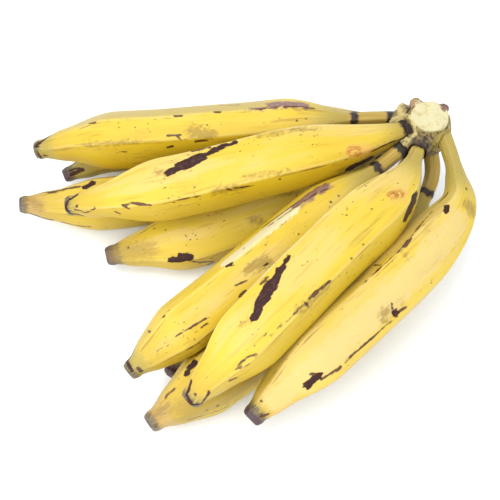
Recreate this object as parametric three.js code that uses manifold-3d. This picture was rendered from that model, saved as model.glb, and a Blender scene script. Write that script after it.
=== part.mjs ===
// A hand of ten ripe plantains, lying on a table as it was cut from the stem.
// Units are millimetres. +Z is up, the table is z = 0, the crown is at the back right and the tips point left and
// forward. The origin is on the table under the middle of the hand.
//
// The fingers hang from the crown in two rows of five. The lower row lies on the table and the upper row lies on it.
// Each finger is a stalk that flares into a five-sided fruit with rounded ridges and narrows to a blunt dark tip.

import * as THREE from 'three';
import { mergeVertices } from 'three/addons/utils/BufferGeometryUtils.js';
import Module from 'manifold-3d';

const wasm = await Module();
wasm.setup();

// Shape that all the fingers share. Shares are of a finger's length, from the crown to the tip.
const STALK_RADIUS = 5.2;
const FLARE_POWER = 0.75; // below 1 the shoulder swells early and then fills slowly
const TIP_SHARE = 0.3; // the tip's radius as a share of the full one
const TIP_DOME = 1.6;
const ROUNDNESS = 0.4; // 0 is a flat-sided section, 1 a circle
const RIDGE_POWER = 14; // higher is a sharper ridge
const FLAT_SIDED_SCALE = 1.12; // makes a five-sided section as large as the circle
const RINGS = 24;
const STEPS_PER_FACE = 4;

// The crown is a lump with three knobs at its back and a collar for each stalk. A plane cuts its top off.
const CROWN_CENTRE = new THREE.Vector3(119.3, 76.5, 62);
const CROWN_SIZE = new THREE.Vector3(17.4, 15, 24);
const KNOBS = [
  { at: [105, 86.5, 67.5], radius: 6 },
  { at: [111, 87, 76], radius: 4.6 },
  { at: [129, 83, 75], radius: 4.6 },
];
const CUT_FACE_AT = new THREE.Vector3(119.3, 76.5, 78.5);
const CUT_FACE_TILT = new THREE.Vector3(0.05, -0.2, 1).normalize();
const COLLAR_RADIUS = 7.4;
const COLLAR_ROOT_RADIUS = 9.5;
const COLLAR_REACH = 8; // how far a collar covers its stalk
const CLEARANCE = 0.3;

// Moves the origin under the middle of the hand.
const TO_MIDDLE = new THREE.Vector3(5, -3, 0);

// route runs along the middle of the finger, from its root in the crown to the tip. radius is that of the belly.
// flare is where the stalk ends and where the shoulder is full, and taper is where the belly starts to narrow.
// ridges are angles round the section, from straight up towards the back of the hand. A finger is pressed flat where
// it grew against the fingers in pressedBy.
const FINGERS = [
  {
    name: 'upper_finger_1',
    route: [[105, 87, 60], [68, 85, 61], [14, 81, 57], [-55, 77, 53], [-110, 78, 46], [-147, 74, 42]],
    radius: 19.4,
    flare: [0.135, 0.33],
    taper: 0.78,
    ridges: [4, 72, 140, 225, 316],
    pressedBy: ['upper_finger_2'],
  },
  {
    name: 'upper_finger_2',
    route: [[108, 73, 66], [67, 57, 69], [24, 45, 70], [-39, 32, 62], [-92, 27, 50], [-121, 26, 44]],
    radius: 20,
    flare: [-0.02, 0.39],
    taper: 0.71,
    ridges: [36, 104, 170, 235, 302],
    pressedBy: [],
  },
  {
    name: 'upper_finger_3',
    route: [[106, 62, 65], [82, 41, 62], [37, 2, 55], [-5, -37, 52], [-52, -76, 44], [-74, -94, 39]],
    radius: 18.8,
    flare: [0.125, 0.33],
    taper: 0.82,
    ridges: [17, 82, 147, 222, 300],
    pressedBy: ['upper_finger_2', 'upper_finger_4'],
  },
  {
    name: 'upper_finger_4',
    route: [[113, 59, 67], [95, 17, 75], [57, -25, 78], [13, -72, 73], [-16, -99, 59], [-36, -116, 46]],
    radius: 20.9,
    flare: [0.05, 0.34],
    taper: 0.77,
    ridges: [43, 112, 178, 243, 310],
    pressedBy: [],
  },
  {
    name: 'upper_finger_5',
    route: [[129, 74, 65], [136, 40, 59], [133, 12, 56], [97, -31, 52], [39, -86, 43], [1, -119, 26]],
    radius: 21.4,
    flare: [0.1, 0.44],
    taper: 0.77,
    ridges: [14, 85, 150, 215, 283],
    pressedBy: ['upper_finger_4'],
  },
  {
    name: 'lower_finger_1',
    route: [[110, 92, 50], [71, 109, 30], [15, 115, 16], [-58, 104, 16], [-100, 86, 16], [-131, 73, 13]],
    radius: 15.2,
    flare: [0.12, 0.37],
    taper: 0.75,
    ridges: [0, 72, 144, 216, 288],
    pressedBy: ['lower_finger_2'],
  },
  {
    name: 'lower_finger_2',
    route: [[113, 88, 48], [76, 88, 31], [13, 79, 19], [-56, 55, 18], [-111, 45, 19], [-157, 40, 25]],
    radius: 18.4,
    flare: [0.12, 0.37],
    taper: 0.8,
    ridges: [20, 95, 165, 230, 300],
    pressedBy: ['upper_finger_1', 'lower_finger_3'],
  },
  {
    name: 'lower_finger_3',
    route: [[112, 80, 50], [85, 68, 33], [32, 47, 21], [-29, 20, 19], [-64, 11, 18], [-96, 4, 16]],
    radius: 19.3,
    flare: [0.12, 0.34],
    taper: 0.76,
    ridges: [40, 110, 175, 240, 285],
    pressedBy: ['upper_finger_2'],
  },
  {
    name: 'lower_finger_4',
    route: [[116, 69, 52], [92, 45, 32], [53, 15, 16], [1, -23, 15], [-32, -55, 15], [-51, -82, 12]],
    radius: 15.2,
    flare: [0.12, 0.37],
    taper: 0.8,
    ridges: [0, 72, 144, 216, 288],
    pressedBy: ['upper_finger_3', 'lower_finger_3', 'lower_finger_5'],
  },
  {
    name: 'lower_finger_5',
    route: [[123, 73, 53], [121, 45, 34], [78, -9, 21], [22, -53, 20], [-28, -93, 20], [-62, -118, 16]],
    radius: 21.2,
    flare: [0.13, 0.34],
    taper: 0.84,
    ridges: [25, 100, 165, 230, 300],
    pressedBy: ['upper_finger_3', 'upper_finger_4', 'upper_finger_5'],
  },
];

const UP = new THREE.Vector3(0, 0, 1);

function ripePeel() {
  return new THREE.MeshStandardMaterial({ name: 'ripe peel', color: 0xf2d45c, roughness: 0.5, metalness: 0 });
}

function cutStem() {
  return new THREE.MeshStandardMaterial({ name: 'cut stem', color: 0xcdb98a, roughness: 0.85, metalness: 0 });
}

function smoothstep(low, high, value) {
  const t = THREE.MathUtils.clamp((value - low) / (high - low), 0, 1);
  return t * t * (3 - 2 * t);
}

// Radius of a finger at a share of its length.
function girth(finger, share) {
  const shoulder = Math.pow(smoothstep(...finger.flare, share), FLARE_POWER);
  const narrowing = 1 - (1 - TIP_SHARE) * smoothstep(finger.taper, 1, share);
  return THREE.MathUtils.lerp(STALK_RADIUS, finger.radius, shoulder) * narrowing;
}

// Distance from the middle of a section of radius 1 to its skin, at an angle in radians. The five flat sides run from
// ridge to ridge, and are blended with a circle.
function sectionReach(ridges, angle) {
  let sum = 0;
  ridges.forEach((ridge, i) => {
    const next = ridges[(i + 1) % ridges.length] + (i + 1 === ridges.length ? 360 : 0);
    const facing = THREE.MathUtils.degToRad((ridge + next) / 2);
    const distance = Math.cos(THREE.MathUtils.degToRad((next - ridge) / 2));
    sum += Math.pow(Math.max(0, Math.cos(angle - facing) / distance), RIDGE_POWER);
  });
  const flatSided = FLAT_SIDED_SCALE * Math.pow(sum, -1 / RIDGE_POWER);
  return THREE.MathUtils.lerp(flatSided, 1, ROUNDNESS);
}

// The angles at which a section is drawn, so that every ridge has a vertex.
function sectionAngles(ridges) {
  const angles = [];
  ridges.forEach((ridge, i) => {
    const next = ridges[(i + 1) % ridges.length] + (i + 1 === ridges.length ? 360 : 0);
    for (let k = 0; k < STEPS_PER_FACE; k += 1) {
      angles.push(THREE.MathUtils.degToRad(ridge + ((next - ridge) * k) / STEPS_PER_FACE));
    }
  });
  return angles;
}

// A closed skin over rings that all have the same number of points, with a point at each end.
function skin(rings, first, last) {
  const count = rings[0].length;
  const positions = [first, ...rings.flat(), last].flatMap((p) => [p.x, p.y, p.z]);
  const end = rings.length * count + 1;
  const at = (ring, i) => 1 + ring * count + (i % count);
  const index = [];
  for (let i = 0; i < count; i += 1) {
    index.push(0, at(0, i + 1), at(0, i));
    for (let ring = 0; ring < rings.length - 1; ring += 1) {
      index.push(at(ring, i), at(ring, i + 1), at(ring + 1, i));
      index.push(at(ring, i + 1), at(ring + 1, i + 1), at(ring + 1, i));
    }
    index.push(at(rings.length - 1, i), at(rings.length - 1, i + 1), end);
  }
  const geometry = new THREE.BufferGeometry();
  geometry.setAttribute('position', new THREE.Float32BufferAttribute(positions, 3));
  geometry.setIndex(index);
  return geometry;
}

// The line along the middle of a finger.
function centreline(finger) {
  return new THREE.CatmullRomCurve3(finger.route.map((p) => new THREE.Vector3(...p)), false, 'catmullrom', 0.5);
}

// Shares of the length at which rings stand: closer together where the finger flares and at its tip.
function ringShares() {
  return Array.from({ length: RINGS }, (_, i) => {
    const even = i / (RINGS - 1);
    return even - 0.045 * Math.sin(2 * Math.PI * even);
  });
}

// The skin of a finger before its neighbours press on it. grow makes it larger all round.
function roundFinger(finger, grow = 0) {
  const line = centreline(finger);
  const angles = sectionAngles(finger.ridges);
  const onTable = (p) => p.setZ(Math.max(p.z, -grow));
  const rings = ringShares().map((share) => {
    const along = line.getTangentAt(share);
    const middle = line.getPointAt(share).addScaledVector(along, grow * (2 * share - 1));
    const side = along.clone().cross(UP).normalize();
    const above = side.clone().cross(along);
    return angles.map((angle) => {
      const reach = girth(finger, share) * sectionReach(finger.ridges, angle) + grow;
      return onTable(middle.clone()
        .addScaledVector(above, reach * Math.cos(angle))
        .addScaledVector(side, reach * Math.sin(angle)));
    });
  });
  const root = line.getPointAt(0).addScaledVector(line.getTangentAt(0), -grow);
  const tip = line.getPointAt(1).addScaledVector(line.getTangentAt(1), TIP_DOME + grow);
  return skin(rings, root, tip);
}

// A round bar that tapers between two points.
function taperedBar(from, to, fromRadius, toRadius, sides) {
  const bar = new THREE.CylinderGeometry(toRadius, fromRadius, from.distanceTo(to), sides);
  const turn = new THREE.Quaternion().setFromUnitVectors(new THREE.Vector3(0, 1, 0), to.clone().sub(from).normalize());
  return bar.applyQuaternion(turn).translate(...from.clone().add(to).multiplyScalar(0.5));
}

function toSolid(geometry) {
  const bare = geometry.clone();
  bare.deleteAttribute('normal');
  bare.deleteAttribute('uv');
  const merged = mergeVertices(bare, 1e-4);
  return new wasm.Manifold(new wasm.Mesh({
    numProp: 3,
    vertProperties: new Float32Array(merged.attributes.position.array),
    triVerts: new Uint32Array(merged.index.array),
  }));
}

function toGeometry(solid) {
  const mesh = solid.simplify(0.03).getMesh();
  const geometry = new THREE.BufferGeometry();
  geometry.setAttribute('position', new THREE.BufferAttribute(mesh.vertProperties, 3));
  geometry.setIndex(new THREE.BufferAttribute(mesh.triVerts, 1));
  return geometry;
}

function collar(finger) {
  const line = centreline(finger);
  const mouth = line.getPointAt(COLLAR_REACH / line.getLength());
  return toSolid(taperedBar(CROWN_CENTRE, mouth, COLLAR_ROOT_RADIUS, COLLAR_RADIUS, 12));
}

function knob({ at, radius }) {
  return toSolid(new THREE.SphereGeometry(radius, 10, 7).translate(...at));
}

function crownGeometry() {
  const lump = new THREE.SphereGeometry(1, 18, 12).scale(...CROWN_SIZE).translate(...CROWN_CENTRE);
  const waste = new THREE.BoxGeometry(120, 120, 60).translate(0, 0, 30)
    .applyQuaternion(new THREE.Quaternion().setFromUnitVectors(UP, CUT_FACE_TILT))
    .translate(...CUT_FACE_AT);

  let crown = toSolid(lump);
  for (const finger of FINGERS) crown = crown.add(collar(finger));
  crown = crown.subtract(toSolid(waste));
  for (const shape of KNOBS) crown = crown.add(knob(shape));
  for (const finger of FINGERS) crown = crown.subtract(toSolid(roundFinger(finger, CLEARANCE)));
  return toGeometry(crown);
}

function fingerGeometry(finger) {
  let fruit = toSolid(roundFinger(finger));
  for (const other of FINGERS.filter(({ name }) => finger.pressedBy.includes(name))) {
    fruit = fruit.subtract(toSolid(roundFinger(other, CLEARANCE)));
  }
  return toGeometry(fruit);
}

function named(name, geometry, material) {
  const mesh = new THREE.Mesh(geometry.translate(...TO_MIDDLE), material);
  mesh.name = name;
  return mesh;
}

const hand = new THREE.Group();
hand.name = 'plantain_hand';
hand.add(named('crown', crownGeometry(), cutStem()));
for (const finger of FINGERS) hand.add(named(finger.name, fingerGeometry(finger), ripePeel()));

export default hand;
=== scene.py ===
"""A hand of ten ripe plantains, lying on a pale table.

Lengths of the hand are millimetres, in the frame of the solids. The scene and its stage are in metres.
"""
import math

import bpy
import numpy as np
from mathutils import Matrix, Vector, noise


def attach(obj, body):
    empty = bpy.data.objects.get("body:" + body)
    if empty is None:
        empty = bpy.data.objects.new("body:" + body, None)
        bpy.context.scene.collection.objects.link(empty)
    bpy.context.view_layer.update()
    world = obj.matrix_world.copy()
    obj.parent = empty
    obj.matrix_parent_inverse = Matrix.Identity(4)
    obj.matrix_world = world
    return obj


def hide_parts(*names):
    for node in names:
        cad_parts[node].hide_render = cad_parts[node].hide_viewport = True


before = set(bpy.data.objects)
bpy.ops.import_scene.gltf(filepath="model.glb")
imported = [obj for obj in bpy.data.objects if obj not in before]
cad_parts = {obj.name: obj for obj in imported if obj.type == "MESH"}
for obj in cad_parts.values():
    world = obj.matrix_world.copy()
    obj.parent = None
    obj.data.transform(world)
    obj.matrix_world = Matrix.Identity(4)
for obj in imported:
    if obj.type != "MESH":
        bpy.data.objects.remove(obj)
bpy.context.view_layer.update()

bl_info = {
    "name": "Plantain Hand",
    "version": (1, 0, 0),
    "blender": (4, 5, 0),
    "location": "View3D > Sidebar > Plantains",
    "description": "Builds a hand of ten ripe plantains with its crown, and a pale table to see it on",
    "category": "Object",
}

MM = 0.001
TO_MIDDLE = np.array([5.0, -3.0, 0.0])

# Shape that all the fingers share. Shares are of a finger's length, from the crown to the tip.
FLARE_POWER = 0.75
TIP_SHARE = 0.3
ROUNDNESS = 0.4
RIDGE_POWER = 14
FLAT_SIDED_SCALE = 1.12
CLEARANCE = 0.3
RINGS = 260
STEPS_PER_FACE = 26
RING_CROWDING = 0.045  # how far the rings are drawn towards both ends of a finger, as a share of it
SKIN_RADIUS = 18.0  # patterns are drawn on a finger as if it were this thick
PATTERN_STEP = 400.0  # how far the pattern of one finger is from that of the next
STALK_RING_HALF = 2.7  # half the width of the dark ring
ROOT_SHARE = 0.14  # the part of a finger that is near the crown
CROWN_VOXEL = 0.75

# How far relief stands out of the peel, or sinks into it, in mm.
LUMPS = 0.45
END_FIBRES = 0.22
RING_HEIGHT = 0.6
END_RIM = 0.5
FULLER_TIP = 1.5
SCAB_HEIGHT = 0.7
BRUISE_DEPTH = 0.15

# Tone added to the whole peel, and taken away on the side that faces down, where the deeper yellow is painted
# shade.
BASE_TONE = 0.06
UNDERSIDE_SHADE_TONE = 0.34

# What a field of lengths says where none of its marks is near, on the peel and on the crown.
NO_MARK = -30.0
NO_STAIN = -20.0

# The rings of the blunt end: share of the last ring's size, how far they stand out, and how far in from its
# edge they are.
TIP_RINGS = ((0.93, 0.8, 0.5), (0.78, 1.4, 1.3), (0.55, 1.3, 2.2), (0.3, 0.5, 3.0))

# A route runs along the middle of a finger, from its root in the crown to its tip. ridges are angles round
# the section in degrees, from straight up towards the back of the hand. flare is where along it the stalk
# widens, and taper where it narrows again. pressed_by names the fingers that lean on it. A finger with
# stalk_ring has a thin stalk that ends in a dark ring. The other lengths are in mm: dry is how far from the
# tip the peel has dried, cap how far it is purple brown, with a grey edge a few mm wide behind it, root how
# far from its root the stalk is black, and socket how wide the crown is black round it. tan is 0 where the
# dried peel is olive and 1 where it is tan. A higher tone is a paler finger.
FINGERS = {
    "upper_finger_1": dict(
        route=[(105, 87, 60), (68, 85, 61), (14, 81, 57), (-55, 77, 53), (-110, 78, 46), (-147, 74, 42)],
        radius=19.4, flare=(0.135, 0.33), taper=0.78, ridges=(4, 72, 140, 225, 316),
        pressed_by=("upper_finger_2",),
        stalk_ring=True, dry=11, tan=0.0, cap=-1.5, root=13, socket=1.6, tone=0),
    "upper_finger_2": dict(
        route=[(108, 73, 66), (67, 57, 69), (24, 45, 70), (-39, 32, 62), (-92, 27, 50), (-121, 26, 44)],
        radius=20.0, flare=(-0.02, 0.39), taper=0.71, ridges=(36, 104, 170, 235, 302),
        pressed_by=(),
        stalk_ring=False, dry=5, tan=0.1, cap=-1.5, root=8.6, socket=2.4, tone=0.02),
    "upper_finger_3": dict(
        route=[(106, 62, 65), (82, 41, 62), (37, 2, 55), (-5, -37, 52), (-52, -76, 44), (-74, -94, 39)],
        radius=18.8, flare=(0.125, 0.33), taper=0.82, ridges=(17, 82, 147, 222, 300),
        pressed_by=("upper_finger_2", "upper_finger_4"),
        stalk_ring=True, dry=10, tan=0.1, cap=-1.5, root=11.5, socket=1.6, tone=-0.05),
    "upper_finger_4": dict(
        route=[(113, 59, 67), (95, 17, 75), (57, -25, 78), (13, -72, 73), (-16, -99, 59), (-36, -116, 46)],
        radius=20.9, flare=(0.05, 0.34), taper=0.77, ridges=(43, 112, 178, 243, 310),
        pressed_by=(),
        stalk_ring=False, dry=5, tan=0.1, cap=-1.5, root=7.2, socket=2.6, tone=0.02),
    "upper_finger_5": dict(
        route=[(129, 74, 65), (136, 40, 59), (133, 12, 56), (97, -31, 52), (39, -86, 43), (1, -119, 26)],
        radius=21.4, flare=(0.1, 0.44), taper=0.77, ridges=(14, 85, 150, 215, 283),
        pressed_by=("upper_finger_4",),
        stalk_ring=False, dry=9, tan=0.3, cap=3.5, root=0, socket=-5, tone=0.08),
    "lower_finger_1": dict(
        route=[(110, 92, 50), (71, 109, 30), (15, 115, 16), (-58, 104, 16), (-100, 86, 16), (-131, 73, 13)],
        radius=15.2, flare=(0.12, 0.37), taper=0.75, ridges=(0, 72, 144, 216, 288),
        pressed_by=("lower_finger_2",),
        stalk_ring=True, dry=20, tan=0.0, cap=2.5, root=11, socket=1.5, tone=-0.08),
    "lower_finger_2": dict(
        route=[(113, 88, 48), (76, 88, 31), (13, 79, 19), (-56, 55, 18), (-111, 45, 19), (-157, 40, 25)],
        radius=18.4, flare=(0.12, 0.37), taper=0.8, ridges=(20, 95, 165, 230, 300),
        pressed_by=("upper_finger_1", "lower_finger_3"),
        stalk_ring=True, dry=14, tan=1.0, cap=0, root=11, socket=1.5, tone=-0.05),
    "lower_finger_3": dict(
        route=[(112, 80, 50), (85, 68, 33), (32, 47, 21), (-29, 20, 19), (-64, 11, 18), (-96, 4, 16)],
        radius=19.3, flare=(0.12, 0.34), taper=0.76, ridges=(40, 110, 175, 240, 285),
        pressed_by=("upper_finger_2",),
        stalk_ring=True, dry=8, tan=0.3, cap=4.5, root=11, socket=1.5, tone=0.02),
    "lower_finger_4": dict(
        route=[(116, 69, 52), (92, 45, 32), (53, 15, 16), (1, -23, 15), (-32, -55, 15), (-51, -82, 12)],
        radius=15.2, flare=(0.12, 0.37), taper=0.8, ridges=(0, 72, 144, 216, 288),
        pressed_by=("upper_finger_3", "lower_finger_3", "lower_finger_5"),
        stalk_ring=True, dry=15, tan=0.2, cap=4, root=11, socket=1.5, tone=-0.08),
    # lower_finger_5's low tone is partly its own olive and partly painted shade where it lies under
    # upper_finger_4 and 5. The black of its root under the crown is painted shade.
    "lower_finger_5": dict(
        route=[(123, 73, 53), (121, 45, 34), (78, -9, 21), (22, -53, 20), (-28, -93, 20), (-62, -118, 16)],
        radius=21.2, flare=(0.13, 0.34), taper=0.84, ridges=(25, 100, 165, 230, 300),
        pressed_by=("upper_finger_3", "upper_finger_4", "upper_finger_5"),
        stalk_ring=True, dry=13, tan=1.0, cap=-1, root=8.5, socket=1.2, tone=-0.16),
}

# Marks on the peel. Each is a stroke between two places with half its width in mm. A place is a share along
# the finger and an angle round it, and the two places of a spot are the same.
MARKS = {
    "upper_finger_1": [
        ("stain", (0.27, 14), (0.35, 15), 4.8), ("stain", (0.35, 8), (0.41, 5), 1.2),
        ("weathered", (0.40, 32), (0.85, 34), 9.0),
        ("line", (0.24, 4), (0.43, 3), 0.5),
        ("line", (0.44, 32), (0.49, 42), 0.7), ("line", (0.49, 4), (0.505, 5), 0.9),
        ("line", (0.59, 2), (0.61, 4), 0.8), ("rub", (0.52, 318), (0.565, 330), 3.4),
        ("line", (0.525, 311), (0.56, 308), 0.8), ("line", (0.595, 324), (0.63, 324), 0.6),
        ("line", (0.595, 314), (0.605, 322), 0.6), ("line", (0.62, 301), (0.635, 298), 0.8),
        ("line", (0.735, 294), (0.765, 293), 0.6), ("rub", (0.71, 317), (0.85, 312), 1.2),
        ("line", (0.82, 2), (0.84, 4), 0.7), ("line", (0.29, 333), (0.29, 333), 0.9),
        ("line", (0.265, 335), (0.265, 335), 0.8), ("rim", (0.955, 46), (0.995, 345), 1.3),
        ("rim", (0.995, 310), (0.99, 225), 0.9), ("line", (0.975, 262), (0.98, 270), 1.0)],
    "upper_finger_2": [
        ("bruise", (0.69, 357), (0.66, 3), 2.8), ("bruise", (0.655, 6), (0.60, 16), 4.2),
        ("bruise", (0.60, 18), (0.545, 27), 2.6), ("bruise", (0.545, 29), (0.50, 32), 1.5),
        ("line", (0.62, 36), (0.57, 34), 0.8), ("rub", (0.72, 5), (0.695, 355), 1.4),
        ("chafe_and_highlight", (0.58, 45), (0.22, 45), 2.8),
        ("rub", (0.435, 33), (0.275, 27), 0.9), ("line", (0.53, 296), (0.48, 291), 0.8),
        ("line", (0.55, 298), (0.54, 293), 0.7), ("rub", (0.58, 298), (0.52, 292), 2.4),
        ("line", (0.41, 291), (0.41, 291), 0.9), ("line", (0.355, 290), (0.355, 290), 0.8),
        ("rub", (0.50, 311), (0.38, 304), 0.7), ("line", (0.70, 300), (0.62, 298), 0.5),
        ("line", (0.83, 304), (0.80, 307), 0.8), ("line", (0.80, 307), (0.75, 299), 0.8),
        ("line", (0.825, 302), (0.815, 294), 0.6), ("line", (0.86, 280), (0.85, 273), 1.0),
        ("scab", (0.21, 313), (0.19, 307), 3.2), ("halo", (0.205, 312), (0.165, 300), 4.6),
        ("bruise", (0.21, 252), (0.15, 250), 3.4), ("dull", (0.15, 268), (0.05, 262), 6.5),
        ("line", (0.15, 291), (0.07, 296), 0.7),
        ("rub", (0.24, 262), (0.19, 253), 2.2), ("rim", (0.96, 38), (0.994, 358), 0.9),
        ("rim", (0.994, 358), (1.0, 325), 1.0), ("rim", (1.0, 325), (0.994, 272), 0.9),
        ("rim", (0.994, 272), (0.96, 240), 0.7), ("line", (0.975, 298), (0.945, 280), 0.6),
        ("line", (0.945, 280), (0.915, 302), 0.6), ("line", (0.967, 318), (0.967, 318), 0.9)],
    "upper_finger_3": [
        ("stain", (0.38, 31), (0.29, 24), 4.6), ("chafe_and_highlight", (0.63, 34), (0.40, 28), 5.2),
        ("line", (0.49, 57), (0.385, 43), 0.9),
        ("line", (0.50, 42), (0.285, 10), 0.5), ("line", (0.31, 345), (0.31, 345), 1.0),
        ("line", (0.28, 346), (0.28, 346), 0.8), ("line", (0.56, 66), (0.56, 66), 0.9),
        ("line", (0.575, 33), (0.575, 33), 0.8), ("bruise", (0.645, 19), (0.632, 15), 1.2),
        ("rub", (0.605, 347), (0.56, 335), 3.6), ("line", (0.66, 338), (0.63, 331), 0.6),
        ("bruise", (0.57, 331), (0.56, 332), 1.3), ("line", (0.67, 316), (0.65, 316), 1.1),
        ("line", (0.86, 333), (0.77, 323), 0.5), ("line", (0.795, 315), (0.775, 314), 0.7),
        ("line", (0.85, 20), (0.85, 20), 0.9), ("line", (0.88, 346), (0.88, 346), 0.8),
        ("line", (0.90, 42), (0.90, 24), 0.7), ("line", (0.86, 297), (0.82, 294), 0.6),
        ("rim", (0.955, 73), (0.99, 48), 1.0), ("rim", (0.99, 48), (0.995, 330), 1.1),
        ("line", (0.98, 320), (0.977, 294), 1.1)],
    "upper_finger_4": [
        ("bruise", (0.745, 358), (0.71, 11), 2.8), ("bruise", (0.71, 11), (0.66, 20), 4.0),
        ("bruise", (0.66, 20), (0.62, 29), 2.7), ("bruise", (0.62, 29), (0.58, 35), 1.6),
        ("line", (0.68, 36), (0.65, 35), 0.8), ("rub", (0.77, 8), (0.753, 358), 1.2),
        ("line", (0.63, 314), (0.60, 313), 1.0), ("line", (0.60, 313), (0.56, 310), 0.7),
        ("line", (0.642, 315), (0.645, 302), 0.7), ("rub", (0.665, 312), (0.58, 306), 2.2),
        ("line", (0.75, 316), (0.65, 314), 0.5), ("scab", (0.268, 346), (0.25, 334), 3.3),
        ("halo", (0.262, 342), (0.245, 332), 5.0), ("bruise", (0.265, 288), (0.215, 299), 4.4),
        ("chafe_and_highlight", (0.69, 54), (0.33, 54), 3.4), ("line", (0.40, 15), (0.40, 15), 0.8),
        ("line", (0.44, 5), (0.44, 5), 0.7), ("line", (0.48, 312), (0.48, 312), 0.9),
        ("line", (0.43, 314), (0.43, 314), 0.7), ("line", (0.86, 314), (0.82, 318), 0.6),
        ("line", (0.82, 318), (0.80, 312), 0.7), ("line", (0.85, 310), (0.825, 306), 0.5),
        ("line", (0.89, 294), (0.877, 289), 1.0), ("rim", (0.96, 35), (0.994, 13), 0.9),
        ("rim", (0.994, 13), (1.0, 312), 1.0), ("rim", (1.0, 312), (0.985, 264), 0.9),
        ("rim", (0.985, 264), (0.945, 310), 0.8), ("line", (0.975, 338), (0.975, 338), 1.0)],
    "upper_finger_5": [
        ("bruise", (0.85, 304), (0.82, 307), 2.5), ("line", (0.83, 320), (0.815, 309), 0.8),
        ("line", (0.82, 298), (0.775, 295), 0.8), ("line", (0.78, 294), (0.77, 294), 1.2),
        ("line", (0.75, 295), (0.625, 292), 0.7), ("line", (0.625, 292), (0.58, 291), 0.6),
        ("bruise", (0.585, 297), (0.58, 297), 2.1), ("line", (0.575, 317), (0.585, 304), 0.7),
        ("line", (0.58, 297), (0.55, 292), 0.8), ("rub", (0.60, 312), (0.615, 306), 2.8),
        ("line", (0.45, 13), (0.435, 15), 1.3), ("line", (0.535, 32), (0.53, 20), 0.7),
        ("line", (0.60, 15), (0.455, 14), 0.5), ("line", (0.43, 14), (0.31, 36), 0.6),
        ("line", (0.26, 56), (0.205, 53), 0.7), ("bruise", (0.28, 13), (0.297, 8), 1.7),
        ("rub", (0.237, 325), (0.24, 302), 3.4), ("line", (0.195, 335), (0.195, 335), 1.0),
        ("rub", (0.465, 5), (0.468, 357), 1.2), ("line", (0.98, 311), (0.963, 298), 0.9),
        ("line", (0.953, 0), (0.953, 0), 0.9), ("faded", (0.92, 322), (0.30, 330), 9.0),
        ("dull", (0.47, 322), (0.40, 316), 3.0), ("dull", (0.62, 318), (0.56, 312), 3.4),
        ("halo", (0.96, 272), (0.48, 274), 2.8)],
    "lower_finger_1": [
        ("rim", (0.995, 42), (0.93, 30), 0.9), ("rim", (0.985, 350), (0.955, 335), 0.5),
        ("rim", (0.985, 312), (0.95, 318), 1.2)],
    "lower_finger_2": [
        ("bruise", (0.845, 8), (0.82, 13), 1.6), ("line", (0.96, 32), (0.93, 16), 0.6),
        ("line", (0.93, 16), (0.89, 18), 0.6), ("line", (0.89, 18), (0.855, 13), 0.6),
        ("rim", (0.98, 240), (0.925, 236), 0.8), ("line", (0.905, 235), (0.84, 250), 0.7),
        ("line", (0.84, 251), (0.84, 251), 1.1), ("rub", (0.98, 355), (0.957, 318), 2.8)],
    "lower_finger_3": [
        ("bruise", (0.825, 287), (0.765, 287), 1.7), ("bruise", (0.79, 294), (0.775, 294), 2.0),
        ("line", (0.763, 278), (0.71, 255), 0.8), ("line", (0.722, 245), (0.71, 246), 1.0),
        ("rub", (0.57, 322), (0.545, 312), 2.2), ("rub", (0.46, 1), (0.41, 342), 1.7),
        ("line", (0.935, 346), (0.935, 346), 0.8), ("dull", (0.97, 330), (0.88, 322), 6.0)],
    "lower_finger_4": [
        ("rim", (0.985, 68), (0.995, 16), 1.3), ("rim", (0.995, 12), (0.99, 264), 0.9)],
    "lower_finger_5": [
        ("bruise", (0.88, 17), (0.855, 21), 1.8), ("line", (0.865, 288), (0.865, 288), 1.2),
        ("line", (0.888, 288), (0.888, 288), 1.0), ("line", (0.93, 268), (0.80, 262), 0.6),
        ("line", (0.945, 14), (0.917, 14), 0.6), ("line", (0.755, 243), (0.743, 242), 0.9),
        # The long dull mark on its lower side is partly its own olive and partly painted shade.
        ("rub", (0.98, 357), (0.957, 355), 2.8), ("dull", (0.92, 300), (0.60, 300), 9.0)],
}

# Tints of the marks: kind, colour, opacity, how ragged the edge is in mm, and how soft it is in mm.
MARK_TINTS = (
    ("weathered", "#A39257", 0.7, 9.0, 3.0),
    ("dull", "#8F7524", 0.65, 14.0, 5.0),
    ("faded", "#C6B070", 0.8, 16.0, 4.0),
    # The pale band along an upper ridge is partly worn peel and partly a painted highlight on the facet seen
    # edge-on.
    ("chafe_and_highlight", "#CBC19A", 0.9, 5.5, 1.0),
    ("rub", "#7A5E1C", 0.62, 12.0, 2.4),
    ("halo", "#C79A4E", 0.7, 8.0, 2.0),
    ("stain", "#69454E", 0.9, 10.0, 1.8),
    ("bruise", "#36221F", 1.0, 5.5, 0.4),
    ("line", "#45230F", 0.95, 2.4, 0.3),
    ("rim", "#3A2020", 0.95, 2.6, 0.3),
    ("scab", "#AD7A20", 0.9, 6.0, 1.0),
)

# Kinds whose edges are drawn out lengthwise. Rub and weathered marks are what wear has left, the pale worn
# band along a ridge is partly wear and partly a painted highlight, and dull darkens the peel to ochre, which
# on lower_finger_5 is painted shade.
WORN = ("rub", "chafe_and_highlight", "weathered", "dull")

# The cut through the crown: a point on it, the middle of its pale part, and which way it faces. KNOBS has the
# centre and radius of the left and the right knob beside it.
CUT_FACE_AT = np.array([119.3, 76.5, 78.5]) + TO_MIDDLE
PALEST_AT = CUT_FACE_AT + (1.6, 0, 0)
CUT_FACE_TILT = np.array([0.05, -0.2, 1.0]) / np.linalg.norm([0.05, -0.2, 1.0])
KNOBS = [((111, 87, 76), 4.6), ((129, 83, 75), 4.6)]

# A lip of stem arches over the roots of these fingers. It is pale, partly its own cream and partly a painted
# highlight on the raised lip.
ARCHED = ("upper_finger_1", "upper_finger_2", "upper_finger_4")
ARCH_GAP = 5.0
ARCH_WIDTH = 4.2

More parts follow.
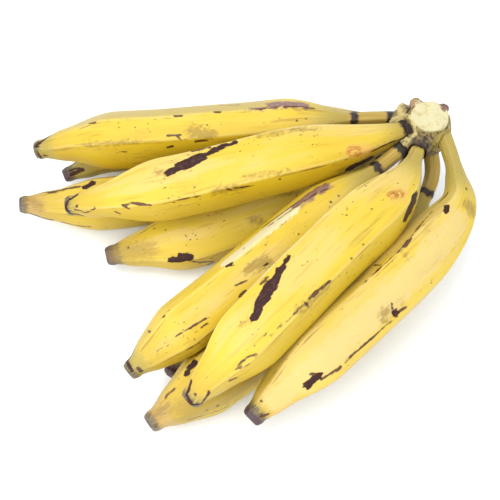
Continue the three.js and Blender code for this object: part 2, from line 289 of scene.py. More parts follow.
# The stage. TABLE_HALF, half the table's width, and TABLE_DROP, how far it lies below the hand, are in mm, and
# the other lengths in metres. A light has its name, its place, how wide it is and its power in watts.
TABLE_HALF = 1500.0
TABLE_DROP = 0.2
LIT_POINT = (0, 0, 0.03)
LIGHTS = (
    ("soft_key", (-0.35, -0.10, 1.35), 0.9, 7),
    ("soft_front", (-0.20, -0.90, 1.10), 0.8, 4.5),
    ("soft_fill", (-0.85, -0.80, 0.60), 1.0, 5),
)
WORLD_STRENGTH = 1.3
CAMERA_TARGET = Vector((0.005, -0.003, 0.030))
CAMERA_ELEVATION = math.radians(58)
CAMERA_DISTANCE = 0.785


def smoothstep(low, high, value):
    t = np.clip((value - low) / (high - low), 0, 1)
    return t * t * (3 - 2 * t)


def girth(finger, share, stalk_radius):
    """Radius of a finger at a share of its length."""
    shoulder = smoothstep(*finger["flare"], share) ** FLARE_POWER
    narrowing = 1 - (1 - TIP_SHARE) * smoothstep(finger["taper"], 1, share)
    return (stalk_radius + (finger["radius"] - stalk_radius) * shoulder) * narrowing


def faces(ridges):
    """Each flat side of a section as its first and last angle in degrees."""
    return [(a, b if b > a else b + 360) for a, b in zip(ridges, ridges[1:] + ridges[:1])]


def section_reach(ridges, angle):
    """Distance from the middle of a section of radius 1 to its skin: flat sides, blended with a circle."""
    total = np.zeros_like(angle)
    for first, last in faces(ridges):
        facing, half = math.radians((first + last) / 2), math.radians((last - first) / 2)
        total += np.maximum(0, np.cos(angle - facing) / math.cos(half)) ** RIDGE_POWER
    flat_sided = FLAT_SIDED_SCALE * total ** (-1 / RIDGE_POWER)
    return flat_sided * (1 - ROUNDNESS) + ROUNDNESS


def section_angles(ridges):
    """Angles round a section in radians, evenly spaced on each flat side."""
    steps = np.arange(STEPS_PER_FACE) / STEPS_PER_FACE
    return np.radians(np.concatenate([a + (b - a) * steps for a, b in faces(ridges)]))


def ridge_distance(ridges, angle, radius):
    """How far a point of the skin is past the nearest ridge, in mm, and below 0 before it."""
    past = (np.degrees(angle)[:, None] - np.array(ridges)[None] + 180) % 360 - 180
    nearest = np.abs(past).argmin(1)
    return np.radians(past[np.arange(len(past)), nearest]) * radius


def smooth_line(route, shares):
    """Points and directions along a smooth line through the route, at shares of its length."""
    p = np.array(route, float) + TO_MIDDLE
    p = np.vstack([2 * p[0] - p[1], p, 2 * p[-1] - p[-2]])
    t = np.linspace(0, 1, 80, endpoint=False)[:, None]
    dense = [0.5 * (2 * b + (c - a) * t + (2 * a - 5 * b + 4 * c - d) * t ** 2
                    + (3 * b - a - 3 * c + d) * t ** 3)
             for a, b, c, d in zip(p, p[1:], p[2:], p[3:])]
    dense = np.vstack(dense + [p[-2:-1]])
    run = np.concatenate([[0], np.cumsum(np.linalg.norm(np.diff(dense, axis=0), axis=1))])
    at = np.stack([np.interp(shares * run[-1], run, dense[:, k]) for k in range(3)], 1)
    along = np.gradient(dense, run, axis=0)
    along = np.stack([np.interp(shares * run[-1], run, along[:, k]) for k in range(3)], 1)
    return at, along / np.linalg.norm(along, axis=1, keepdims=True), run[-1]


def section_frame(along):
    """For each direction along a finger, the two directions that span its section."""
    side = np.cross(along, (0, 0, 1.0))
    side /= np.linalg.norm(side, axis=1, keepdims=True)
    return np.cross(side, along), side


def press(points, other, stalk_radius):
    """Moves points that lie inside another finger out to its skin."""
    shares = np.linspace(0, 1, 240)
    middle, along, _ = smooth_line(other["route"], shares)
    above, side = section_frame(along)
    nearest = np.array([((middle - p) ** 2).sum(1).argmin() for p in points])
    away = points - middle[nearest]
    distance = np.linalg.norm(away, axis=1)
    angle = np.arctan2((away * side[nearest]).sum(1), (away * above[nearest]).sum(1))
    reach = girth(other, shares[nearest], stalk_radius) * section_reach(other["ridges"], angle) + CLEARANCE
    beyond_its_ends = (nearest == 0) | (nearest == len(shares) - 1)
    reach[beyond_its_ends] = 0
    short = np.maximum(0, reach - distance)
    return points + away * (short / np.maximum(distance, 1e-6))[:, None]


def roughness(points, size, seed):
    """Smooth seeded noise between -1 and 1 whose bumps are about size mm across."""
    offset = Vector((17.3 * seed, 5.1 * seed, 9.7 * seed))
    return np.array([noise.noise(Vector(p) / size + offset) for p in points])


def mesh_object(name, points, polygons):
    mesh = bpy.data.meshes.new(name)
    mesh.from_pydata((points * MM).tolist(), [], polygons)
    mesh.validate()
    mesh.polygons.foreach_set("use_smooth", [True] * len(mesh.polygons))
    mesh.update()
    made = bpy.data.objects.new(name, mesh)
    bpy.context.scene.collection.objects.link(made)
    return made


def store(mesh, name, values):
    """Keeps a number, or a vector, for each vertex, for the material to read."""
    kind, key = ("FLOAT", "value") if values.ndim == 1 else ("FLOAT_VECTOR", "vector")
    layer = mesh.attributes.new(name, kind, "POINT")
    layer.data.foreach_set(key, values.astype(np.float32).ravel())


def grid_polygons(rings, count):
    """Quads between rings of points, and a fan to one point at each end."""
    i = np.arange(count)
    j = (i + 1) % count
    quads = []
    for r in range(rings - 1):
        a, b = 1 + r * count, 1 + (r + 1) * count
        quads += np.stack([a + i, a + j, b + j, b + i], 1).tolist()
    last = 1 + (rings - 1) * count
    end = 1 + rings * count
    fans = np.stack([np.zeros_like(i), 1 + j, 1 + i], 1).tolist()
    return quads + fans + np.stack([last + i, last + j, np.full_like(i, end)], 1).tolist()


def mark_field(strokes, kind, share, angle, radius, length):
    """How far inside the marks of one kind each point of a finger is, in mm, and below 0 outside them."""
    field = np.full(share.shape, NO_MARK)
    of_kind = [stroke for stroke in strokes if stroke[0] == kind]
    for _, (share_a, angle_a), (share_b, angle_b), half_width in of_kind:
        turn = (angle_b - angle_a + 180) % 360 - 180
        around = (np.degrees(angle) - angle_a + 180) % 360 - 180
        place = np.stack([(share - share_a) * length, np.radians(around) * radius])
        span = np.stack([np.full(share.shape, (share_b - share_a) * length), math.radians(turn) * radius])
        run = np.clip((place * span).sum(0) / np.maximum((span * span).sum(0), 1e-6), 0, 1)
        field = np.maximum(field, half_width - np.hypot(*(place - run * span)))
    return field


def tip_distance(share, sunk, length):
    """How far each point is from the finger's tip in mm, and below 0 on the end itself."""
    return (1 - share) * length - sunk


def painted_underside_shade(ridges, angle, radius):
    """1 on the flat side that faces down and forward, where the peel is painted deeper as shade. It drops at
    the ridges, and fades out over 11 mm.
    """
    centre, half = math.radians((ridges[3] + ridges[4]) / 2), math.radians((ridges[4] - ridges[3]) / 2)
    turned = np.abs((angle - centre + math.pi) % (2 * math.pi) - math.pi)
    inside = (half - turned) * radius
    return 0.7 * smoothstep(-1.5, 1.5, inside) + 0.3 * smoothstep(-11, -1, inside)


def finger_fields(finger, marks, place):
    """What the peel's material reads at each point of a finger: lengths in mm, and shares from 0 to 1."""
    share, angle, radius, length, to_tip = place
    ring_at = finger["flare"][0] if finger["stalk_ring"] else -1
    from_root = share * length
    neck = smoothstep(finger["flare"][0] + 0.2, finger["flare"][0], share)
    stalk = smoothstep(finger["flare"][0] + 0.05, finger["flare"][0] - 0.01, share)
    fields = {
        "from_ridge": ridge_distance(finger["ridges"], angle, radius),
        "dry": finger["dry"] - to_tip,
        "tan": np.full_like(share, finger["tan"]),
        "tone": finger["tone"] + BASE_TONE - UNDERSIDE_SHADE_TONE * painted_underside_shade(finger["ridges"], angle, radius),
        "cap": finger["cap"] - to_tip,
        "stalk": stalk if finger["stalk_ring"] else 0.3 * neck,
        "neck": neck,
        "ring": np.maximum(STALK_RING_HALF - np.abs(share - ring_at) * length, finger["root"] - from_root),
    }
    for kind, *_ in MARK_TINTS:
        fields[kind] = mark_field(marks, kind, share, angle, radius, length)
    return fields


def relief(finger, skin, seed, place, fields, rib_height):
    """How far the peel stands out from the plain shape at each point, in mm."""
    share, _, _, length, to_tip = place
    belly = smoothstep(*finger["flare"], share) * (1 - smoothstep(finger["taper"] + 0.08, 1, share))
    ends = smoothstep(24, 4, to_tip) + smoothstep(0.16, 0.05, share)
    out = rib_height * np.exp(-(fields["from_ridge"] / 1.3) ** 2) * belly
    out += LUMPS * roughness(skin * (1, 1, 0.35), 11, seed) * belly
    out += END_FIBRES * roughness(skin * (1, 1, 0.3), 2.6, seed + 1) * ends
    if finger["stalk_ring"]:
        out += RING_HEIGHT * np.exp(-((share - finger["flare"][0]) * length / 2.0) ** 2)
    out += END_RIM * np.exp(-((to_tip - 2.5) / 2.0) ** 2) * (share < 1)
    out += FULLER_TIP * np.exp(-((to_tip - 15) / 9.0) ** 2)

    # Scabs are raised crumbs, and bruises have sunk a little.
    crumbs = 0.5 + 0.9 * roughness(skin, 1.7, seed + 2)
    out += SCAB_HEIGHT * smoothstep(-0.3, 1.6, fields["scab"] + 1.5 * crumbs - 0.8) * crumbs
    return out - BRUISE_DEPTH * smoothstep(-0.5, 1.0, fields["bruise"])


def build_finger(name, seed, shape):
    """One finger as rings of points along its route, with the fields of its material on each point."""
    finger = FINGERS[name]
    stalk_radius = shape.stalk_radius / MM
    even = np.linspace(0, 1, RINGS)
    shares = even - RING_CROWDING * np.sin(2 * math.pi * even)
    middle, along, length = smooth_line(finger["route"], shares)
    angles = section_angles(finger["ridges"])

    # The blunt end adds rings that shrink and bulge, and is sunk a little in its middle.
    end = len(TIP_RINGS)
    shrink, bulge, sunk = np.hstack([np.tile([[1.0], [0.0], [0.0]], RINGS), np.array(TIP_RINGS).T])
    shares = np.append(shares, np.ones(end))
    along = np.vstack([along, np.tile(along[-1], (end, 1))])
    middle = np.vstack([middle, np.tile(middle[-1], (end, 1))]) + along * bulge[:, None]
    above, side = section_frame(along)

    def over_rings(values):
        return np.repeat(values, len(angles))

    share = over_rings(shares)
    angle = np.tile(angles, len(shares))
    radius = girth(finger, share, stalk_radius)
    place = (share, angle, radius, length, tip_distance(share, over_rings(sunk), length))
    wrap = SKIN_RADIUS * over_rings(shrink)
    skin = np.stack([wrap * np.cos(angle), wrap * np.sin(angle), share * length + PATTERN_STEP * seed], 1)
    fields = finger_fields(finger, MARKS[name], place)
    reach = radius * section_reach(finger["ridges"], angle)
    reach += relief(finger, skin, seed, place, fields, shape.rib_height / MM)
    reach *= over_rings(shrink)

    outward = np.repeat(above, len(angles), 0) * np.cos(angle)[:, None]
    outward += np.repeat(side, len(angles), 0) * np.sin(angle)[:, None]
    points = np.repeat(middle, len(angles), 0) + outward * reach[:, None]
    points = np.vstack([middle[:1], points, middle[-1:] - along[-1] * 0.3])
    for other in finger["pressed_by"]:
        points = press(points, FINGERS[other], stalk_radius)
    points[:, 2] = np.maximum(points[:, 2], 0)

    made = mesh_object("skin_" + name, points, grid_polygons(len(shares), len(angles)))
    fields["skin"] = skin
    for field, values in fields.items():
        store(made.data, field, np.concatenate([values[:1], values, values[-1:]]))
    return made


def near_finger(finger, points, stalk_radius):
    """For points near a finger's root: how far they are from its skin, and how far along it, in mm."""
    shares = np.linspace(0, ROOT_SHARE, 30)
    root, _, length = smooth_line(finger["route"], shares)
    apart = np.linalg.norm(points[:, None] - root[None], axis=2)
    nearest = apart.argmin(1)
    return apart.min(1) - girth(finger, shares[nearest], stalk_radius), shares[nearest] * length


def voxel_crown(iterations):
    """The solid crown remeshed fine and softened, as points and outward directions, with its mesh."""
    solid = bpy.data.objects.new("crown_rough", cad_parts["crown"].data.copy())
    bpy.context.scene.collection.objects.link(solid)
    remesh = solid.modifiers.new("fine", "REMESH")
    remesh.mode = "VOXEL"
    remesh.voxel_size = CROWN_VOXEL * MM
    soften = solid.modifiers.new("soften", "SMOOTH")
    soften.iterations = iterations
    soften.factor = 0.5
    fine = bpy.data.meshes.new_from_object(solid.evaluated_get(bpy.context.evaluated_depsgraph_get()))
    bpy.data.objects.remove(solid)
    points = np.empty(len(fine.vertices) * 3)
    normals = np.empty(len(fine.vertices) * 3)
    fine.vertices.foreach_get("co", points)
    fine.vertices.foreach_get("normal", normals)
    return points.reshape(-1, 3) / MM, normals.reshape(-1, 3), fine


def crown_fields(points, normals, softer, stalk_radius):
    """What the crown's material reads at each point.

    softer are the same points softened further. A point that lies below them is in a fold, which the material
    darkens as painted shade.
    """
    above_cut = (points - CUT_FACE_AT) @ CUT_FACE_TILT
    upright = normals @ CUT_FACE_TILT
    on_top = smoothstep(-2.4, -0.6, above_cut) * smoothstep(0.45, 0.8, upright)
    off_axis = np.hypot(*(points - PALEST_AT)[:, :2].T * ((1.0,), (1.15,))) + 2.4 * roughness(points, 4, 11)
    socket = np.full(len(points), NO_STAIN)
    for finger in FINGERS.values():
        gap, _ = near_finger(finger, points, stalk_radius)
        socket = np.maximum(socket, finger["socket"] - gap)
    gap, run = near_finger(FINGERS["upper_finger_5"], points, stalk_radius)
    bare = smoothstep(6.5, 3.0, gap) * smoothstep(1.0, 6.0, run)
    knobs = [radius + 0.6 - np.linalg.norm(points - TO_MIDDLE - at, axis=1) for at, radius in KNOBS]
    arch = np.full(len(points), NO_STAIN)
    for name in ARCHED:
        gap, run = near_finger(FINGERS[name], points, stalk_radius)
        arch = np.where(run > 0.5, np.maximum(arch, ARCH_WIDTH / 2 - np.abs(gap - ARCH_GAP)), arch)
    return {
        "place": points,
        "cut": on_top * smoothstep(16.5, 13.5, off_axis),
        "lip": 1.0 - np.abs(above_cut + 2.6),
        "left_knob": knobs[0],
        "right_knob": knobs[1],
        "socket": socket,
        "fold": ((softer - points) * normals).sum(1),
        "arch": arch,
        "deep": -7.0 - above_cut,
        "bare": bare,
    }


def build_crown(shape):
    """The crown: the solid one softened, with lengthwise fibres on its sides and a nearly flat cut."""
    softer, _, spare = voxel_crown(40)
    bpy.data.meshes.remove(spare)
    points, normals, fine = voxel_crown(9)
    fields = crown_fields(points, normals, softer, shape.stalk_radius / MM)

    lengthwise = points * (1.0, 1.0, 0.22)
    sides = 0.4 * roughness(lengthwise, 2.6, 3) + 0.25 * roughness(lengthwise, 1.3, 4)
    sides += 0.6 * roughness(points, 8, 5)
    flat = 0.9 * roughness(points, 7, 6) + 0.15 * roughness(points, 1.5, 7)
    sunk = 0.35 + 0.6 * smoothstep(-0.5, 1.5, fields["socket"])
    out = sides * (1 - fields["cut"]) + flat * fields["cut"] - sunk
    out += 1.2 * smoothstep(0, 1.8, fields["arch"]) * (1 - fields["cut"])
    on_knob = smoothstep(-1.0, 2.0, np.maximum(fields["left_knob"], fields["right_knob"]))
    out += 1.1 * roughness(points, 2.6, 8) * on_knob
    points = points + normals * out[:, None]
    fine.vertices.foreach_set("co", (points * MM).ravel())
    fine.polygons.foreach_set("use_smooth", [True] * len(fine.polygons))
    fine.update()
    fine.name = "cut_crown"
    made = bpy.data.objects.new("cut_crown", fine)
    bpy.context.scene.collection.objects.link(made)
    for field, values in fields.items():
        store(fine, field, values)
    return made


def linear(colour):
    """A hex colour, or one from a colour property, as linear red, green, blue and alpha."""
    if not isinstance(colour, str):
        return tuple(colour)[:3] + (1.0,)
    parts = [int(colour[i:i + 2], 16) / 255 for i in (1, 3, 5)]
    return tuple(c / 12.92 if c <= 0.04045 else ((c + 0.055) / 1.055) ** 2.4 for c in parts) + (1.0,)


def add(tree, kind, inputs, output=0, **settings):
    """Adds a node with its settings, and gives one of its outputs.

    inputs maps a socket's name or number to a value, or to the output that feeds it.
    """
    made = tree.nodes.new("ShaderNode" + kind)
    for name, value in settings.items():
        setattr(made, name, value)
    for name, value in inputs.items():
        if isinstance(value, bpy.types.NodeSocket):
            tree.links.new(value, made.inputs[name])
        else:
            made.inputs[name].default_value = value
    return made.outputs[output] if made.outputs else None


def new_material(name):
    material = bpy.data.materials.new(name)
    material.use_nodes = True
    tree = material.node_tree
    tree.nodes.clear()
    return material, tree


def grain(tree, place, size, stretch=1.0, detail=3.0):
    """A mottle whose features are size mm across, drawn out by a share below 1 along the third axis."""
    scaled = add(tree, "VectorMath", {0: place, 1: (1, 1, stretch)}, operation="MULTIPLY")
    inputs = {"Vector": scaled, "Scale": 1.0 / size, "Detail": detail, "Roughness": 0.55}
    return add(tree, "TexNoise", inputs, "Fac")


def torn(tree, field, mottle, spread):
    """A field of lengths whose edge a mottle tears by up to half the spread in mm either way."""
    length = add(tree, "Attribute", {}, "Fac", attribute_name=field)
    centred = add(tree, "Math", {0: mottle, 1: 0.5}, operation="SUBTRACT")
    return add(tree, "Math", {0: centred, 1: spread, 2: length}, operation="MULTIPLY_ADD")


def paint(tree, colour, layers):
    """Lays tints over a colour, one after another.

    A layer is a tint, the pattern that it follows, the pattern's values where it starts and where it is full,
    and how much it then covers.
    """
    for tint, pattern, start, full, cover in layers:
        inputs = {"Value": pattern, "From Min": start, "From Max": full, "To Max": cover}
        amount = add(tree, "MapRange", inputs, interpolation_type="SMOOTHSTEP")
        colour = add(tree, "Mix", {0: amount, 6: colour, 7: tint}, 2, data_type="RGBA")
    return colour


def bare_peel(tree, skin, streak, patches, colours):
    """The yellow of the peel, with the specks and scratches that are all over it. Its ridges get a painted
    highlight, with a thin line of painted shade beside them.
    """
    from_ridge = add(tree, "Attribute", {}, "Fac", attribute_name="from_ridge")
    highlight_from_crest = add(tree, "Math", {0: from_ridge}, operation="ABSOLUTE")
    shifted = add(tree, "Math", {0: from_ridge, 1: 1.5}, operation="ADD")
    beside = add(tree, "Math", {0: shifted}, operation="ABSOLUTE")
    broken = add(tree, "Math", {0: grain(tree, skin, 6, 0.25), 1: 4.0}, operation="MULTIPLY")
    ridge_shade_line = add(tree, "Math", {0: broken, 1: beside}, operation="SUBTRACT")
    rubbed = add(tree, "Math", {0: grain(tree, skin, 15, 0.4, 2), 1: streak}, operation="ADD")
    speckled = add(tree, "Math", {0: grain(tree, skin, 24, 1, 2), 1: 0.35}, operation="MULTIPLY")
    speck = add(tree, "Math", {0: grain(tree, skin, 1.9, 0.7, 1.5), 1: speckled}, operation="ADD")
    thin_streak = grain(tree, skin, 2.6, 0.08, 4)
    neck = add(tree, "Attribute", {}, "Fac", attribute_name="neck")
    return paint(tree, linear(colours.peel), [
        # Low tone deepens the yellow. On the side of each finger that faces down, that is painted shade.
        (linear(colours.peel_deep), patches, 0.5, 0.34, 0.85),
        (linear(colours.peel_pale), patches, 0.5, 0.68, 1.0),
        (linear("#A5801C"), thin_streak, 0.54, 0.72, 0.4),
        # Pale cream along each ridge is a painted highlight.
        (linear("#CDBC74"), highlight_from_crest, 1.3, 0.3, 0.35),
        (linear("#9A893E"), neck, 0.1, 1.0, 0.9),
        # A broken brown line 1.5 mm beside each ridge is painted shade.
        (linear("#7A5822"), ridge_shade_line, 1.9, 2.35, 0.75),
        (linear("#8A6C26"), rubbed, 1.16, 1.32, 0.45),
        (linear("#5E3E1C"), speck, 0.895, 0.935, 0.9),
        (linear("#6E4D22"), grain(tree, skin, 1.3, 0.09, 2), 0.7, 0.76, 0.5),
    ])


def stalks_and_tips(tree, colour, skin, ragged, colours):
    """Fibrous olive-brown stalks with near-black rings, and ends dried to olive or tan, then grey."""
    stalk = paint(tree, linear(colours.stalk), [
        (linear("#B9A052"), grain(tree, skin, 4, 0.1), 0.5, 0.68, 0.8),
        (linear("#6C541F"), grain(tree, skin, 1.5, 0.05), 0.5, 0.72, 0.6),
    ])
    tan = add(tree, "Attribute", {}, "Fac", attribute_name="tan")
    dried = paint(tree, linear("#94853A"), [(linear("#A98A4C"), tan, 0.0, 1.0, 1.0)])
    end = paint(tree, linear("#5C5540"), [
        (linear("#332A26"), grain(tree, skin, 2.4, 0.4), 0.5, 0.6, 0.95),
    ])
    wide = torn(tree, "dry", ragged, 14)
    lumpy = grain(tree, skin, 9, 1.6, 2)
    return paint(tree, colour, [
        (stalk, add(tree, "Attribute", {}, "Fac", attribute_name="stalk"), 0.1, 0.9, 1.0),
        (linear("#54402A"), torn(tree, "ring", lumpy, 5.0), -1.1, 0.9, 0.85),
        (linear("#1F1815"), torn(tree, "ring", lumpy, 7.0), 0.2, 1.2, 0.95),
        (linear("#A3872A"), wide, -32.0, 2.0, 0.55),
        (dried, wide, -5.0, 4.0, 0.85),
        (end, torn(tree, "cap", ragged, 8.0), -6.0, -2.5, 0.85),
        (linear("#45323A"), torn(tree, "cap", ragged, 6.0), -1.0, 1.0, 0.95),
    ])


def marked_peel(tree, colour, skin, streak, ragged):
    """Handling marks over the peel. What was rubbed is drawn out lengthwise, and the others are ragged."""
    mottle = grain(tree, skin, 1.6, 0.6)
    worn = add(tree, "Math", {0: streak, 1: 0.5, 2: mottle}, operation="MULTIPLY_ADD")
    worn = add(tree, "Math", {0: worn, 1: 0.25}, operation="SUBTRACT")
    for kind, tint, cover, spread, soft in MARK_TINTS:
        field = torn(tree, kind, worn if kind in WORN else ragged, spread)
        colour = paint(tree, colour, [(linear(tint), field, -soft, soft, cover)])
    return paint(tree, colour, [
        (linear("#A08478"), torn(tree, "stain", mottle, 22), 5.0, 6.4, 0.8),
        (linear("#4A3231"), torn(tree, "bruise", mottle, 20), 2.6, 4.4, 0.7),
        (linear("#CFA650"), torn(tree, "scab", mottle, 20), 2.6, 4.0, 0.9),
        (linear("#8A5A1C"), torn(tree, "scab", mottle, -22), 3.0, 4.4, 0.7),
    ])


def waxy_peel(colours):
    """Ripe plantain peel, grown and handled: waxy and bright with a soft sheen, and matt where bruised."""
    material, tree = new_material("ripe plantain peel, waxy, rubbed and bruised")
    skin = add(tree, "Attribute", {}, "Vector", attribute_name="skin")
    streak = grain(tree, skin, 2.2, 0.06)
    tone = add(tree, "Attribute", {}, "Fac", attribute_name="tone")
    patches = add(tree, "Math", {0: grain(tree, skin, 17, 0.22, 2), 1: tone}, operation="ADD")
    ragged = grain(tree, skin, 2.6, 0.5, 4)
    colour = bare_peel(tree, skin, streak, patches, colours)
    colour = stalks_and_tips(tree, colour, skin, ragged, colours)
    colour = marked_peel(tree, colour, skin, streak, ragged)

    # Pores are drawn 0.9 mm apart, about twice the real distance, so that they show.
    pores = grain(tree, skin, 0.9, 1, 2)
    height = add(tree, "Math", {0: pores, 1: 0.5, 2: streak}, operation="MULTIPLY_ADD")
    bump = add(tree, "Bump", {"Height": height, "Strength": 0.3, "Distance": 0.0004})
    ripe = {"Value": patches, "From Min": 0.3, "From Max": 0.7}
    sheen = add(tree, "MapRange", {**ripe, "To Min": 0.44, "To Max": 0.56})
    bruise = torn(tree, "bruise", ragged, 5.5)
    rim = torn(tree, "rim", ragged, 2.6)
    dead = add(tree, "Math", {0: bruise, 1: rim}, operation="MAXIMUM")
    matt = {"Value": dead, "From Min": -0.4, "From Max": 0.4}
    wax = add(tree, "MapRange", {**matt, "To Min": 0.5, "To Max": 0.12})
    inputs = {"Base Color": colour, "Roughness": sheen, "Normal": bump, "IOR": 1.45,
              "Specular IOR Level": wax}
    add(tree, "OutputMaterial", {"Surface": add(tree, "BsdfPrincipled", inputs)})
    return material


def cut_stem(colours):
    """The crown's stem, cut with a knife and dried: a cream cut with faint fibres, and dull olive skin, with
    painted shade in its folds and sockets and a painted highlight on the lips over the roots.
    """
    material, tree = new_material("plantain stem, knife-cut and dried")
    place = add(tree, "Attribute", {}, "Vector", attribute_name="place")
    fibre = grain(tree, place, 1.5, 0.25, 4)
    blotch = grain(tree, place, 4.5)
    fine = grain(tree, place, 2.0, 0.5, 4)
    neck = paint(tree, linear("#9C8A48"), [(linear("#6E5A28"), fibre, 0.48, 0.66, 0.8)])
    pale = paint(tree, linear(colours.cut_face), [
        (linear("#A99A66"), blotch, 0.52, 0.68, 0.7),
        (linear("#9A7F58"), fibre, 0.6, 0.75, 0.5),
    ])
    colour = paint(tree, linear(colours.stem_side), [
        (linear("#A6996A"), blotch, 0.46, 0.62, 0.9),
        (linear("#54401F"), fibre, 0.5, 0.68, 0.7),
        (linear("#5A4A35"), torn(tree, "deep", blotch, 16.0), 1.0, 4.0, 0.6),
        # Near-black in the folds is painted shade.
        (linear("#33231F"), torn(tree, "fold", blotch, 1.0), 0.08, 0.36, 0.95),
        # The pale lip is partly its own cream and partly a painted highlight.
        (linear("#B4A56E"), torn(tree, "arch", blotch, 3.0), -0.4, 0.8, 0.9),
        (neck, add(tree, "Attribute", {}, "Fac", attribute_name="bare"), 0.2, 0.8, 1.0),
        (pale, torn(tree, "cut", fine, 1.2), 0.25, 0.6, 1.0),
        (linear("#4A3620"), torn(tree, "lip", fine, 6.0), 0.3, 1.2, 0.75),
        (linear("#93705F"), torn(tree, "left_knob", blotch, 7.0), 0.2, 1.6, 0.8),
        (linear("#7A5A52"), torn(tree, "right_knob", blotch, 5.0), -0.6, 0.6, 0.95),
        (linear("#4E3833"), torn(tree, "right_knob", fine, 14.0), 1.0, 2.0, 0.8),
        # The near-black round each socket is partly the stem's own dark brown and partly painted shade in the
        # sunk hole.
        (linear("#2A1C1F"), torn(tree, "socket", blotch, 4.0), -0.4, 1.0, 0.95),
    ])
    height = add(tree, "Math", {0: blotch, 1: 0.6, 2: fibre}, operation="MULTIPLY_ADD")
    bump = add(tree, "Bump", {"Height": height, "Strength": 0.5, "Distance": 0.0007})
    inputs = {"Base Color": colour, "Roughness": 0.78, "Normal": bump, "IOR": 1.4}
    add(tree, "OutputMaterial", {"Surface": add(tree, "BsdfPrincipled", inputs)})
    return material


def matt_card(colours):
    """White card, rolled matt: no gloss, so it shows only soft shadows."""
    material, tree = new_material("white card, rolled matt")
    place = add(tree, "TexCoord", {}, "Object")
    tooth = add(tree, "TexNoise", {"Vector": place, "Scale": 900.0, "Detail": 2.0}, "Fac")
    colour = paint(tree, linear(colours.table), [(linear("#EEF2F8"), tooth, 0.4, 0.6, 1.0)])
    bump = add(tree, "Bump", {"Height": tooth, "Strength": 0.04, "Distance": 0.0003})
    inputs = {"Base Color": colour, "Roughness": 0.9, "Normal": bump, "Specular IOR Level": 0.1}
    add(tree, "OutputMaterial", {"Surface": add(tree, "BsdfPrincipled", inputs)})
    return material


def colour_property(name, description, colour):
    return bpy.props.FloatVectorProperty(
        name=name, description=description, default=linear(colour)[:3], size=3, min=0, max=1, subtype="COLOR")


class PlantainShape(bpy.types.PropertyGroup):
    """Sizes that all the fingers share."""
    stalk_radius: bpy.props.FloatProperty(
        name="Stalk radius", description="Radius of each finger's stalk at the crown", default=0.0052,
        min=0.003, max=0.008, unit="LENGTH", subtype="DISTANCE")
    rib_height: bpy.props.FloatProperty(
        name="Rib height", description="How far the ridges stand out as ribs", default=0.0004,
        min=0.0, max=0.001, unit="LENGTH", subtype="DISTANCE")


class PlantainColours(bpy.types.PropertyGroup):
    """Colours of the surfaces themselves. Strong soft light brings them up to what the eye sees."""
    peel: colour_property("Peel", "Bright yellow of the ripe peel", "#C4A92E")
    peel_pale: colour_property("Pale peel", "Cream patches of the peel", "#C5AC58")
    # The deep yellow also paints the shade on the side of each finger that faces down.
    peel_deep: colour_property("Deep peel", "Deeper yellow patches of the peel", "#BC9E1A")
    stalk: colour_property("Stalk", "Olive brown of the stalks", "#A48A3A")
    stem_side: colour_property("Crown side", "Skin round the crown", "#857545")
    cut_face: colour_property("Cut face", "Pale cut through the crown", "#BDB690")
    table: colour_property("Table", "Table under the hand", "#F1F5FA")


class PLANTAIN_OT_fingers(bpy.types.Operator):
    """Build the ten fingers with their ridges, stalks, blossom ends and marks"""
    bl_idname = "plantain.fingers"
    bl_label = "Plantain Fingers"

    def execute(self, context):
        peel = waxy_peel(context.scene.plantain_colours)
        for seed, name in enumerate(FINGERS):
            finger = build_finger(name, seed + 1, context.scene.plantain_shape)
            finger.data.materials.append(peel)
            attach(finger, "root")
            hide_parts(name)
        return {"FINISHED"}


class PLANTAIN_OT_crown(bpy.types.Operator):
    """Build the crown with its cut face, knobs and dark sockets"""
    bl_idname = "plantain.crown"
    bl_label = "Cut Crown"

    def execute(self, context):
        crown = build_crown(context.scene.plantain_shape)
        crown.data.materials.clear()
        crown.data.materials.append(cut_stem(context.scene.plantain_colours))
        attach(crown, "root")
        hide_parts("crown")
        return {"FINISHED"}


def area_light(name, at, size, power):
    """A round soft white light that faces the hand."""
    light = bpy.data.lights.new(name, "AREA")
    light.shape = "DISK"
    light.size = size
    light.energy = power
    made = bpy.data.objects.new(name, light)
    made.location = at
    made.rotation_euler = (Vector(LIT_POINT) - Vector(at)).to_track_quat("-Z", "Y").to_euler()
    bpy.context.scene.collection.objects.link(made)


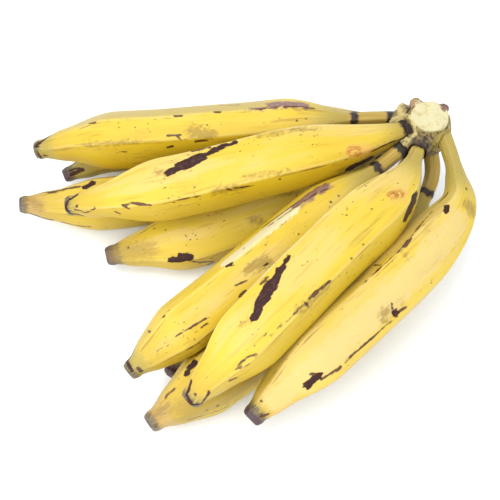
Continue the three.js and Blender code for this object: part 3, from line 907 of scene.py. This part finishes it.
class PLANTAIN_OT_stage(bpy.types.Operator):
    """Build the table, the soft lights and the camera"""
    bl_idname = "plantain.stage"
    bl_label = "Table, Lights and Camera"

    def execute(self, context):
        scene = context.scene
        signs = ((-1, -1), (1, -1), (1, 1), (-1, 1))
        corners = np.array([(x * TABLE_HALF, y * TABLE_HALF, -TABLE_DROP) for x, y in signs])
        table = mesh_object("table_top", corners, [(0, 1, 2, 3)])
        table.data.materials.append(matt_card(scene.plantain_colours))

        world = bpy.data.worlds.new("soft studio")
        world.use_nodes = True
        world.node_tree.nodes["Background"].inputs["Color"].default_value = linear("#FFFFFF")
        world.node_tree.nodes["Background"].inputs["Strength"].default_value = WORLD_STRENGTH
        scene.world = world
        for light in LIGHTS:
            area_light(*light)
        scene.view_settings.view_transform = "Standard"
        scene.view_settings.look = "None"
        scene.view_settings.exposure = 0.0

        camera = bpy.data.cameras.new("camera")
        camera.lens = 85
        camera.sensor_width = 36
        camera.sensor_fit = "HORIZONTAL"
        away = Vector((0, -math.cos(CAMERA_ELEVATION), math.sin(CAMERA_ELEVATION)))
        seat = bpy.data.objects.new("camera", camera)
        seat.location = CAMERA_TARGET + CAMERA_DISTANCE * away
        seat.rotation_euler = (math.pi / 2 - CAMERA_ELEVATION, 0, 0)
        scene.collection.objects.link(seat)
        scene.camera = seat
        return {"FINISHED"}


class PLANTAIN_PT_panel(bpy.types.Panel):
    """The hand's shape and colours, and a button for each operator"""
    bl_label = "Plantain Hand"
    bl_idname = "PLANTAIN_PT_panel"
    bl_space_type = "VIEW_3D"
    bl_region_type = "UI"
    bl_category = "Plantains"

    def draw(self, context):
        for group in (context.scene.plantain_shape, context.scene.plantain_colours):
            for name in group.__annotations__:
                self.layout.prop(group, name)
        for operator in OPERATORS:
            self.layout.operator(operator.bl_idname)


OPERATORS = (PLANTAIN_OT_fingers, PLANTAIN_OT_crown, PLANTAIN_OT_stage)
CLASSES = (PlantainShape, PlantainColours) + OPERATORS + (PLANTAIN_PT_panel,)


def register():
    for each in CLASSES:
        bpy.utils.register_class(each)
    bpy.types.Scene.plantain_shape = bpy.props.PointerProperty(type=PlantainShape)
    bpy.types.Scene.plantain_colours = bpy.props.PointerProperty(type=PlantainColours)


def unregister():
    del bpy.types.Scene.plantain_colours
    del bpy.types.Scene.plantain_shape
    for each in reversed(CLASSES):
        bpy.utils.unregister_class(each)


def main():
    """Builds the hand and its stage."""
    register()
    bpy.ops.plantain.fingers()
    bpy.ops.plantain.crown()
    bpy.ops.plantain.stage()


if __name__ == "__main__":
    main()
